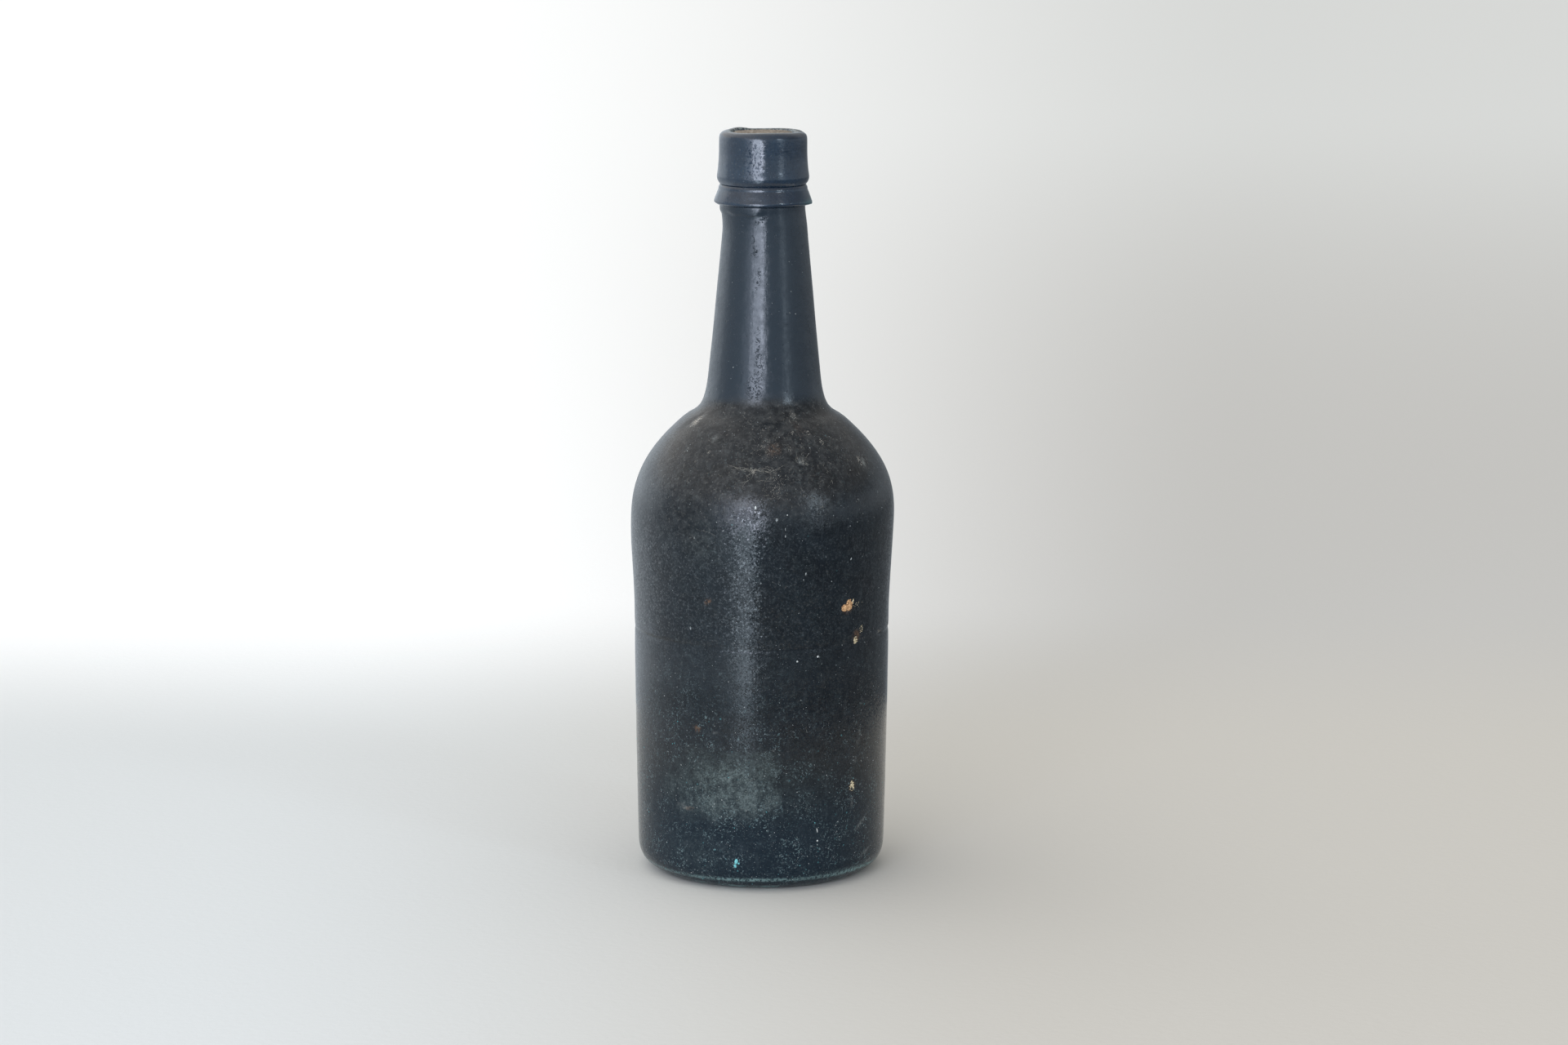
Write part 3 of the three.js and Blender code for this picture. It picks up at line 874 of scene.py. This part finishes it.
lip = turned(
    "lip_laid_on", dense(section("lip"), lambda radius, height, index: 0.35 * MM), 220, FINISH,
    seed=5, wave=(0.12, 9), grain=(0.02, 1.2))
reshape(lip.data, lip_unevenness)
string_rim = turned(
    "string_rim_laid_on", dense(section("string_rim"), lambda radius, height, index: 0.25 * MM), 220, FINISH,
    seed=8, wave=(0.15, 5), grain=(0.03, 1.0))
reshape(string_rim.data, rim_unevenness)
for piece, node in ((lip, "lip"), (string_rim, "string_rim")):
    soil_and_pit(piece.data)
    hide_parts(node)
    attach(piece, "bottle")


def cork_rows(radius, height, index):
    """Row spacing in metres: fine at the crumbled top."""
    return (0.3 if height > 210 * MM else 1.0) * MM


def cork_unevenness(radius, azimuth, height):
    """The cork's worn top, in mm: its rim is crumbled away, most at the photographed right."""
    top = step(height, 219.5, 221.2)
    gap = 1.3 * facing(azimuth, 84, 22) * step(radius, 7.6, 9.0)
    crumbled = 0.25 * step(radius, 8.0, 9.2) * (0.5 + 0.5 * ripple(azimuth, 7, 0.5))
    return np.zeros_like(radius), np.zeros_like(radius), -top * (gap + crumbled)


def wear_and_stain(mesh):
    """Paints where the cork's side is kept as it was cut, and where its lower end is stained."""
    radius, azimuth, height = around(positions(mesh) / MM)
    worn_from = 219.5 + 0.8 * ripple(azimuth, 5, 0.3) + 0.4 * ripple(azimuth, 13, 1.0)
    soaked_to = 186 + 1.5 * ripple(azimuth, 3, 0.7)
    clean_from = 194 + 2 * ripple(azimuth, 7, 1.9)
    paint(mesh, "kept", (1 - step(height, worn_from - 1.5, worn_from)) * (radius > 7))
    paint(mesh, "stained", 1 - step(height, soaked_to, clean_from))


cork = turned(
    "cork_cut", dense(section("cork"), cork_rows), 160, CORK, seed=11, wave=(0.3, 4), grain=(0.36, 0.9))
reshape(cork.data, cork_unevenness)
wear_and_stain(cork.data)
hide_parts("cork")
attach(cork, "cork")


# What lies on the glass

LUCK = np.random.default_rng(29)


def skin(azimuth, height):
    """The place in mm on the outer glass at an azimuth and a height, and how its radius changes there."""
    row = min(max(int(np.searchsorted(OUTER[:, 1], height)), 1), len(OUTER) - 1)
    (low_radius, low), (high_radius, high) = OUTER[row - 1], OUTER[row]
    slope = (high_radius - low_radius) / max(high - low, 1e-3)
    radius = low_radius + slope * (height - low)
    angle = math.radians(azimuth)
    return Vector((radius * math.sin(angle), -radius * math.cos(angle), height)), slope


def grains(name, spots, tint, seed, rounding=1, unevenness=0.12):
    """Grains on the glass. A spot is azimuth, height, half width, height and thickness, tilt and luck."""
    places, sizes, facings, lucks = [], [], [], []
    for azimuth, height, half_width, half_height, thickness, tilt, luck in spots:
        place, slope = skin(azimuth, height)
        turn = (
            Matrix.Rotation(math.radians(azimuth), 3, "Z")
            @ Matrix.Rotation(math.pi / 2 + math.atan(slope), 3, "X")
            @ Matrix.Rotation(math.radians(tilt), 3, "Z")
        )
        places.append(place * MM)
        sizes.append(Vector((half_width, half_height, thickness)) * MM)
        facings.append(turn.to_euler())
        lucks.append(luck)
    start = bpy.data.meshes.new(name + "_places")
    start.from_pydata(places, [], [])
    for label, rows in (("size", sizes), ("facing", facings)):
        stored = start.attributes.new(label, "FLOAT_VECTOR", "POINT")
        stored.data.foreach_set("vector", np.array(rows, np.float32).ravel())
    paint(start, "luck", np.array(lucks))
    made = run_tree(name, start, GRAINS, {
        "Surface": glass_body, "Rounding": rounding, "Unevenness": unevenness * MM,
        "Unevenness Size": 0.5 * MM, "Seed": float(seed), "Material": tint})
    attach(made, "bottle")


def scattered(count, chance, smallest, largest, flatness, heights=(1, 142)):
    """Spots for grains at random places of the glass, kept where chance(height) allows."""
    spots = []
    while len(spots) < count:
        azimuth, height = LUCK.uniform(-180, 180), LUCK.uniform(*heights)
        if LUCK.random() > chance(height):
            continue
        half = smallest + (largest - smallest) * LUCK.random() ** 4
        longer = 1 + 0.6 * LUCK.random()
        tilt, luck = LUCK.uniform(-90, 90), LUCK.random()
        spots.append((azimuth, height, half / longer, half * longer, half * flatness, tilt, luck))
    return spots


def heaps(rows):
    """Spots for small heaps of grains, bigger in the middle of each.

    A row is azimuth, height, half width, half height, count, and the half widths of its smallest and largest.
    """
    spots = []
    for azimuth, height, half_width, half_height, count, smallest, largest in rows:
        for _ in range(count):
            away, way = math.sqrt(LUCK.random()), LUCK.uniform(0, 2 * math.pi)
            size = smallest + (largest - smallest) * (1 - away) * LUCK.uniform(0.6, 1)
            turn = azimuth + math.degrees(away * half_width * math.cos(way) / WALL_RADIUS)
            rise = height + away * half_height * math.sin(way)
            taller, tilt, luck = LUCK.uniform(0.8, 1.3), LUCK.uniform(-90, 90), LUCK.random()
            spots.append((turn, rise, size, size * taller, size * 0.75, tilt, luck))
    return spots


def lime_chance(height):
    """More lime specks towards the base, and some on the shoulder."""
    return (0.15 if height < 106 else 0.32) + 0.85 * (1 - min(height / 80, 1)) ** 0.8


def copper_chance(height):
    """Copper-stained specks only low down, most at the base."""
    return (1 - min(height / 60, 1)) ** 1.5


def even_chance(height):
    """As many at every height."""
    return 1.0


grains("lime_specks", scattered(3600, lime_chance, 0.04, 0.15, 0.5), LIME, seed=2)
grains("neck_specks", scattered(130, even_chance, 0.05, 0.16, 0.5, heights=(146, 192)), LIME, seed=9)
grains("copper_specks", scattered(260, copper_chance, 0.05, 0.18, 0.4), TEAL, seed=3)
# Dust caught in clumps on the shoulder
grains("dust_clumps", heaps((
    (-57.4, 137.4, 3.0, 1.6, 150, 0.05, 0.19),
    (27.3, 139.6, 2.8, 1.6, 54, 0.03, 0.10),
    (31.4, 135.2, 1.2, 1.2, 22, 0.04, 0.12),
    (37.7, 132.6, 1.0, 0.9, 18, 0.05, 0.13),
    (20.3, 135.7, 0.9, 0.7, 16, 0.05, 0.13),
    (20.2, 128.3, 2.6, 1.6, 36, 0.03, 0.08),
    (57.7, 126.3, 1.2, 1.8, 40, 0.05, 0.14),
    (-30.4, 130.5, 0.8, 0.8, 14, 0.05, 0.12),
    (15.8, 131.6, 0.9, 0.8, 20, 0.04, 0.10),
    (6.0, 121.5, 3.5, 3.2, 90, 0.03, 0.09),
    (-4.5, 125.6, 1.6, 1.0, 26, 0.04, 0.11),
    (4.0, 132.0, 7.0, 4.5, 120, 0.03, 0.10),
    (150, 130.0, 5.0, 3.0, 90, 0.04, 0.13),
    (-140, 134.0, 4.0, 2.4, 80, 0.04, 0.13),
)), DUST, seed=10)
# Single marks that stand out in the photograph
grains("lime_marks", (
    (26.0, 71.0, 0.32, 0.32, 0.15, 0, 1.0),
    (16.3, 70.0, 0.26, 0.30, 0.15, 0, 1.0),
    (11.2, 113.7, 0.17, 0.20, 0.10, 0, 0.9),
    (-2.5, 115.9, 0.26, 0.52, 0.10, 0, 1.0),
    (26.7, 18.4, 0.16, 0.70, 0.10, 12, 1.0),
    (26.9, 15.2, 0.28, 0.28, 0.12, 0, 0.9),
    (10.3, 109.6, 0.07, 0.50, 0.05, 0, 0.5),
    (10.3, 107.6, 0.09, 0.40, 0.06, 0, 0.8),
    (6.6, 112.4, 0.32, 0.50, 0.08, 0, 0.05),
    (19.5, 96.1, 0.22, 0.40, 0.12, -15, 0.25),
    (18.5, 94.4, 0.16, 0.22, 0.10, 0, 0.2),
    (42.1, 99.2, 0.18, 0.40, 0.12, -25, 0.5),
    (-32.8, 78.9, 0.25, 0.50, 0.10, 0, 0.0),
    (-0.1, 93.6, 0.14, 0.24, 0.10, 0, 0.2),
), LIME, seed=4, rounding=2, unevenness=0.1)
grains("copper_mark", (
    (-11.1, 9.6, 0.50, 0.85, 0.2, -10, 1.0),
    (-11.6, 8.2, 0.42, 0.60, 0.2, 20, 0.9),
    (-9.9, 9.0, 0.30, 0.30, 0.1, 0, 0.6),
), TEAL, seed=5, rounding=2)
grains("soil_crust", heaps((
    (39.6, 84.6, 1.0, 1.0, 60, 0.18, 0.70),
    (42.4, 85.3, 1.2, 1.7, 80, 0.16, 0.60),
    (171, 96.5, 2.4, 1.6, 26, 0.3, 0.8),
    (-128, 52.0, 1.4, 2.2, 16, 0.25, 0.6),
)), SOIL, seed=6, rounding=2, unevenness=0.3)
grains("sand_and_shell", heaps((
    (44.6, 86.3, 0.3, 0.9, 10, 0.12, 0.34),
    (47.5, 85.0, 2.2, 1.6, 9, 0.06, 0.16),
    (46.8, 74.2, 0.9, 1.2, 22, 0.14, 0.42),
    (46.2, 30.2, 1.1, 1.5, 30, 0.14, 0.42),
    (50.7, 77.2, 0.9, 1.4, 12, 0.10, 0.24),
    (188, 62.0, 1.3, 1.3, 14, 0.22, 0.5),
)), GRIT, seed=7, rounding=2, unevenness=0.2)


def strand(azimuth, height, heading, length, bend):
    """A thread's points on the glass in mm, from a place, with a heading and a bend in degrees per mm."""
    points = []
    count = max(3, round(length / 0.5))
    pace = length / count
    for _ in range(count):
        points.append(skin(azimuth, height)[0])
        angle = math.radians(heading)
        azimuth += math.degrees(pace * math.cos(angle) / math.hypot(points[-1].x, points[-1].y))
        height += pace * math.sin(angle)
        heading += bend * pace
    return points


def loose_threads(count, azimuths, heights, lengths, steepest):
    """Random threads within these ranges."""
    return [
        strand(
            LUCK.uniform(*azimuths), LUCK.uniform(*heights), LUCK.uniform(-steepest, steepest),
            LUCK.uniform(*lengths), LUCK.uniform(-12, 12))
        for _ in range(count)
    ]


def through(places):
    """A thread's points on the glass in mm, through places given as azimuth and height."""
    points = []
    for (from_azimuth, from_height), (to_azimuth, to_height) in zip(places, places[1:]):
        for t in np.linspace(0, 1, 4, endpoint=False):
            azimuth = from_azimuth + (to_azimuth - from_azimuth) * t
            height = from_height + (to_height - from_height) * t
            points.append(skin(azimuth, height)[0])
    return points + [skin(*places[-1])[0]]


def strands(name, threads, thickness, wander, seed):
    """Threads laid on the glass, each with its points in mm."""
    places, edges = [], []
    for points in threads:
        edges += [(len(places) + i, len(places) + i + 1) for i in range(len(points) - 1)]
        places += [point * MM for point in points]
    start = bpy.data.meshes.new(name + "_places")
    start.from_pydata(places, edges, [])
    made = run_tree(name, start, STRANDS, {
        "Surface": glass_body, "Thickness": thickness * MM, "Spacing": 0.25 * MM, "Wander": wander * MM,
        "Wander Size": 1.8 * MM, "Seed": float(seed), "Material": FIBRE})
    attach(made, "bottle")


# The long threads of the tangle on the shoulder, in front, and its tail, as places by azimuth and height
TANGLE = (
    ((-16.5, 127.2), (-10.4, 126.6), (-3.3, 126.0), (3.6, 125.5), (7.9, 126.4), (10.9, 127.3)),
    ((-15.4, 126.2), (-6.1, 126.2), (0.2, 126.2), (3.0, 127.2), (6.4, 126.0), (3.6, 125.6), (-2.0, 125.8)),
    ((-3.3, 126.0), (-4.6, 124.5), (-6.2, 123.4), (-8.0, 122.2), (-8.6, 121.3)),
    ((-2.8, 123.2), (1.0, 123.6), (4.8, 123.2)),
    ((-12.0, 127.0), (-8.0, 125.6), (-3.0, 126.4), (1.5, 125.2), (5.5, 126.8)),
    ((-14.0, 126.8), (-9.0, 126.9), (-4.5, 125.4), (-1.0, 126.6), (2.0, 126.7), (4.5, 125.9), (9.0, 126.2)),
    ((-5.5, 125.0), (-7.5, 124.6), (-6.0, 123.2), (-9.0, 122.6)),
)
strands("thread_tangle", (
    [through(places) for places in TANGLE]
    + loose_threads(12, (-12, 6), (124.8, 127.4), (0.8, 2.2), 40)
    + loose_threads(16, (17, 24), (127.0, 129.6), (0.6, 1.6), 90)
), thickness=0.034, wander=1.5, seed=12)
strands(
    "tangle_knot", loose_threads(16, (-5.4, -2.4), (125.2, 126.7), (0.5, 1.2), 90),
    thickness=0.05, wander=1.6, seed=14)
strands(
    "worm_marks", loose_threads(50, (1, 13), (118.0, 124.5), (0.4, 1.1), 90),
    thickness=0.03, wander=1.2, seed=15)
# Single threads over the rest
strands("threads", (
    loose_threads(260, (-180, 180), (112, 141), (0.5, 1.8), 90)
    + loose_threads(110, (-40, 50), (118, 141), (0.4, 1.4), 90)
    + loose_threads(60, (-180, 180), (8, 60), (0.8, 2.5), 90)
    + [through(((-29.1, 108.9), (-26.7, 108.4), (-22.8, 108.3), (-19.8, 107.2)))]
), thickness=0.022, wander=1.3, seed=13)


# Camera, floor and light

FOCAL_PIXELS = 5108  # focal length in pixels of a frame 1920 pixels wide
FRAME_WIDTH = 1920
SENSOR_WIDTH = 36.0
# The camera's place and turn follow from the ellipses of the base, the mould line and the mouth.
camera = bpy.data.objects.new("camera", bpy.data.cameras.new("camera"))
camera.data.sensor_width = SENSOR_WIDTH
camera.data.lens = SENSOR_WIDTH * FOCAL_PIXELS / FRAME_WIDTH
camera.location = (0.0066, -1.230, 0.323)
tilt, roll = math.radians(79.94), math.radians(0.23)
camera.rotation_euler = (Matrix.Rotation(tilt, 3, "X") @ Matrix.Rotation(roll, 3, "Z")).to_euler()
bpy.context.scene.collection.objects.link(camera)
bpy.context.scene.camera = camera


def matt_sheet():
    # Paper sheet, matt and pale, with painted light and shade: its colour is painted nearly white on the left
    # and behind, where the light falls, and greyer and warmer on the right as painted shade; far behind on
    # the left it glows as painted light
    made, tree, place = material("studio_sheet")
    apart = add(tree, "ShaderNodeSeparateXYZ", place).node.outputs
    behind = add(tree, MATH, apart["Y"], 0.0, operation="MAXIMUM")
    spread = total(tree, product(tree, behind, 0.9), 1.0)
    narrowed = add(tree, MATH, apart["X"], spread, operation="DIVIDE")
    painted_light_behind = add(tree, RANGE, apart["Y"], 0.13, 0.42)
    leaning = add(tree, MATH, narrowed, product(tree, painted_light_behind, 0.05), operation="SUBTRACT")
    # side runs from 0 on the left to 1 on the right, where the sheet is painted darker as painted shade
    side = add(tree, RANGE, leaning, -0.17, 0.09)
    painted_shade_far_right = coats(tree, "#cbcac7", ((add(tree, RANGE, apart["Y"], 0.5, 3.0), "#e3e5e4"),))
    far = coats(tree, "#f2f4f5", ((side, painted_shade_far_right),))
    colour = coats(tree, "#e2e6e7", ((side, "#d0cdc6"), (painted_light_behind, far)))
    # Painted glow: far behind on the left the sheet emits light, as if lit from behind
    painted_glow = product(tree, add(tree, MATH, 1.0, side, operation="SUBTRACT"), painted_light_behind, 0.24)
    dimple = add(tree, NOISE, place, Scale=per_mm(2.5), Detail=3)
    rough = add(tree, RANGE, dimple, 0, 1, 0.85, 0.95)
    dimpled = add(tree, BUMP, Height=dimple, Distance=0.10 * MM)
    finish(tree, colour, rough, dimpled, 0.1, **{"Emission Color": "#ffffff", "Emission Strength": painted_glow})
    made.cycles.emission_sampling = "NONE"
    return made


SHEET = matt_sheet()
FLOOR_SIDES = 64
FLOOR_RADIUS = 0.23  # in metres, like the next
SHEET_RADIUS = 14.0


def floor_ring(name, inner, outer):
    """A level ring of floor round the bottle, or a disc where inner is 0."""
    turns = [2 * math.pi * i / FLOOR_SIDES for i in range(FLOOR_SIDES)]
    corners = [(r * math.cos(t), r * math.sin(t), 0) for r in (inner, outer) if r for t in turns]
    pairs = [(i, (i + 1) % FLOOR_SIDES) for i in range(FLOOR_SIDES)]
    quads = [(a, b, b + FLOOR_SIDES, a + FLOOR_SIDES) for a, b in pairs]
    mesh = bpy.data.meshes.new(name)
    mesh.from_pydata(corners, [], quads if inner else [tuple(range(FLOOR_SIDES))])
    mesh.materials.append(SHEET)
    sheet = bpy.data.objects.new(name, mesh)
    bpy.context.scene.collection.objects.link(sheet)
    return sheet


floor_ring("floor", 0, FLOOR_RADIUS)
# Further out the glass mirrors the room's own brightness, not the sheet's.
floor_around = floor_ring("floor_around", FLOOR_RADIUS, SHEET_RADIUS)
floor_around.visible_glossy = False

LOOK_HEIGHT = 0.12  # in metres: the degrees up are counted from here
# Windows: name, azimuth, distance in m, from and to in degrees up, half width in degrees, level and colour
WINDOWS = (
    ("window_low_pane", -13.5, 1.7, -3, 2.5, 13.5, 4.2, "#e2eafd"),
    ("window_low_left_edge", -24.5, 1.65, -3, 2.5, 2.2, 3.0, "#e2eafd"),
    ("window_low_right_edge", -5.5, 1.65, -3, 2.5, 4.0, 3.6, "#e2eafd"),
    ("window_middle_pane", -12, 1.7, 2.5, 10, 14.5, 5.3, "#e2eafd"),
    ("window_high_pane", -18.5, 1.7, 10, 25, 11, 4.7, "#e2eafd"),
    ("window_dim_pane", -24, 1.8, -3, 25, 21, 0.9, "#dbe6ff"),
    ("window_left_frame", -28, 1.65, -3, 10, 1.4, 4.0, "#e4ecff"),
    ("window_right_frame", -6, 1.65, -3, 10, 2.5, 4.5, "#e4ecff"),
    ("second_window", 47, 1.7, 14.5, 24, 4, 7.0, "#d3ecff"),
)


def window(name, azimuth, distance, low, high, half_turn, level, colour):
    """An upright light that faces the bottle, hidden from the camera."""
    width = 2 * distance * math.tan(math.radians(half_turn))
    bottom, top = (distance * math.tan(math.radians(a)) for a in (low, high))
    angle = math.radians(azimuth)
    light = bpy.data.lights.new(name, "AREA")
    light.shape = "RECTANGLE"
    light.size = width
    light.size_y = top - bottom
    light.energy = level * math.pi * width * (top - bottom)
    light.color = srgb(colour)[:3]
    lamp = bpy.data.objects.new(name, light)
    middle = LOOK_HEIGHT + (bottom + top) / 2
    lamp.location = (distance * math.sin(angle), -distance * math.cos(angle), middle)
    lamp.rotation_euler = (math.pi / 2, 0, angle)
    lamp.visible_camera = False
    bpy.context.scene.collection.objects.link(lamp)


for row in WINDOWS:
    window(*row)

BRIGHTEST = 5.5
# The room's brightness all round, above the table and below its edge: azimuth in degrees and level
ROOM_ABOVE = (
    (-180, 0.9), (-150, 1.4), (-118, 1.9), (-106, 1.75), (-100, 1.15), (-80, 1.0), (-60, 1.1), (-42, 1.5),
    (0, 1.2), (18, 0.95), (40, 1.0), (44, 1.7), (48, 2.7), (53, 1.7), (58, 1.0), (80, 0.8), (96, 0.74),
    (120, 0.65), (150, 0.36), (165, 0.38), (179, 0.65))
ROOM_BELOW = (
    (-180, 0.6), (-150, 0.9), (-125, 1.25), (-100, 1.05), (-65, 0.85), (-42, 0.95), (-26, 1.4), (-19, 2.8),
    (-11, 5.2), (-8, 1.5), (-2, 0.6), (15, 0.5), (60, 0.33), (120, 0.29), (150, 0.25), (179, 0.38))


def ring(tree, turn, levels):
    """A brightness all round the bottle. turn goes from 0 behind it through 0.5 in front to 1 behind it."""
    shade = add(tree, "ShaderNodeValToRGB", turn)
    stops = shade.node.color_ramp.elements
    stops.remove(stops[1])
    for i, (azimuth, level) in enumerate(levels):
        position = azimuth / 360 + 0.5
        stop = stops[0] if i == 0 else stops.new(position)
        stop.position = position
        stop.color = [level / BRIGHTEST] * 3 + [1]
    return product(tree, shade, BRIGHTEST)


def soft_room():
    """The world: a pale room with daylight, brighter on the photographed left, dim below the table."""
    world = bpy.data.worlds.new("soft_room")
    world.use_nodes = True
    tree = world.node_tree
    tree.nodes.clear()
    way = add(tree, "ShaderNodeSeparateXYZ", add(tree, "ShaderNodeTexCoord")).node.outputs
    forwards = product(tree, way["Y"], -1.0)
    angle = add(tree, MATH, way["X"], forwards, operation="ARCTAN2")
    turn = total(tree, product(tree, angle, 0.5 / math.pi), 0.5)
    table_edge = add(tree, RANGE, way["Z"], -0.12, 0.0)
    walls = add(tree, MIX, table_edge, A=ring(tree, turn, ROOM_BELOW), B=ring(tree, turn, ROOM_ABOVE))
    overhead = add(tree, RANGE, way["X"], -0.5, 0.5, 1.25, 0.62)
    room = add(tree, MIX, add(tree, RANGE, way["Z"], 0.30, 0.65), A=walls, B=overhead)
    high_right = product(
        tree, add(tree, RANGE, way["Z"], 0.10, 0.25), add(tree, RANGE, way["X"], 0.6, 0.9, 0.0, 0.42))
    level = product(tree, room, add(tree, MATH, 1.0, high_right, operation="SUBTRACT"))
    off_front = add(tree, MATH, add(tree, MATH, turn, 0.5, operation="SUBTRACT"), operation="ABSOLUTE")
    tint = coats(tree, "#d9eaf8", (
        (add(tree, RANGE, off_front, 0.10, 0.33), "#e6f0f9"),
        (add(tree, RANGE, way["Z"], 0.15, 0.45), "#faf8f5"),
    ))
    add(tree, "ShaderNodeOutputWorld", add(tree, "ShaderNodeBackground", tint, level))
    bpy.context.scene.world = world


soft_room()
bpy.context.scene.view_settings.view_transform = "Standard"
